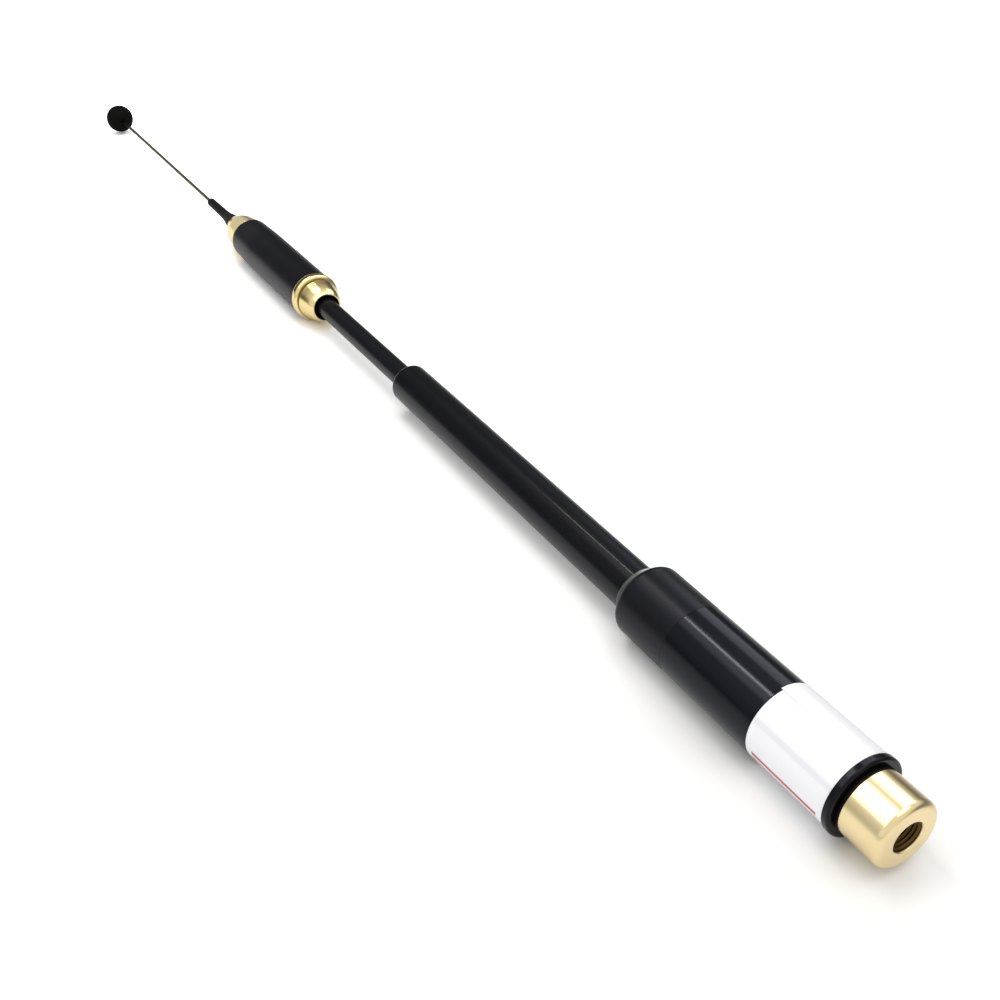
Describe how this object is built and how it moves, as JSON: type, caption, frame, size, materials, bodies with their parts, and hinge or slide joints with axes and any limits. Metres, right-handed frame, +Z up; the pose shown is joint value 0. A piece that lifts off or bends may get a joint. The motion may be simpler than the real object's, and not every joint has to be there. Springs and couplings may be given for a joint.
{
  "type": "telescopic antenna",
  "caption": "Telescopic whip antenna with a threaded coaxial socket, a banded base, nested sliding tubes, a phasing coil head and a ball-tipped wire.",
  "frame": {"origin": "centre of the connector socket's mouth", "axes": "+X along the antenna towards the ball tip, +Z up as it lies on a table"},
  "size_m": [0.4475, 0.0166, 0.0166],
  "materials": {
    "gold_plate": "polished gold plate on brass",
    "insulator_white": "waxy white fluoropolymer",
    "gloss_black": "glossy black sleeve",
    "inner_plastic": "moulded insulating plastic",
    "label_white": "laminated white film",
    "satin_black": "satin black plastic",
    "ferrule_metal": "bright turned ring",
    "copper_wire": "enamelled copper wire",
    "bare_brass": "turned brass",
    "black_paint": "satin black lacquer on drawn tube",
    "spring_bronze": "phosphor bronze strip",
    "whip_steel": "dark spring steel wire",
    "tip_black": "matte black moulded ball"
  },
  "bodies": {
    "base": {"connector_shell": "gold_plate", "connector_insulator": "insulator_white", "centre_pin": "gold_plate", "end_ring": "gloss_black", "base_tube": "inner_plastic", "label_band": "label_white", "gloss_sleeve": "gloss_black", "neck_cap": "satin_black", "mouth_ferrule": "ferrule_metal", "matching_former": "inner_plastic", "matching_winding": "copper_wire", "tube_terminal": "bare_brass", "lower_tube": "black_paint", "tube_end_bush": "satin_black"},
    "lower_slider": {"slider_spring": "spring_bronze"},
    "coil_section": {"slider_bush": "bare_brass", "upper_tube": "black_paint", "coil_collar": "gold_plate", "coil_former": "inner_plastic", "phasing_winding": "copper_wire", "coil_cover": "satin_black", "coil_cap": "gold_plate", "whip_guide": "satin_black"},
    "whip_slider": {"whip_spring": "spring_bronze"},
    "whip": {"whip_stop": "bare_brass", "whip_wire": "whip_steel", "tip_ball": "tip_black"}
  },
  "joints": [
    {"name": "upper_tube_slide", "type": "slide", "parent": "base", "child": "lower_slider", "axis": [1, 0, 0], "range_m": [-0.0526, 0.034]},
    {"name": "upper_tube_swivel", "type": "hinge", "parent": "lower_slider", "child": "coil_section", "pos_m": [0.1264, 0, 0], "axis": [1, 0, 0], "continuous": true},
    {"name": "whip_slide", "type": "slide", "parent": "coil_section", "child": "whip_slider", "axis": [1, 0, 0], "range_m": [-0.107, 0.049]},
    {"name": "whip_swivel", "type": "hinge", "parent": "whip_slider", "child": "whip", "pos_m": [0.233, 0, 0], "axis": [1, 0, 0], "continuous": true}
  ]
}
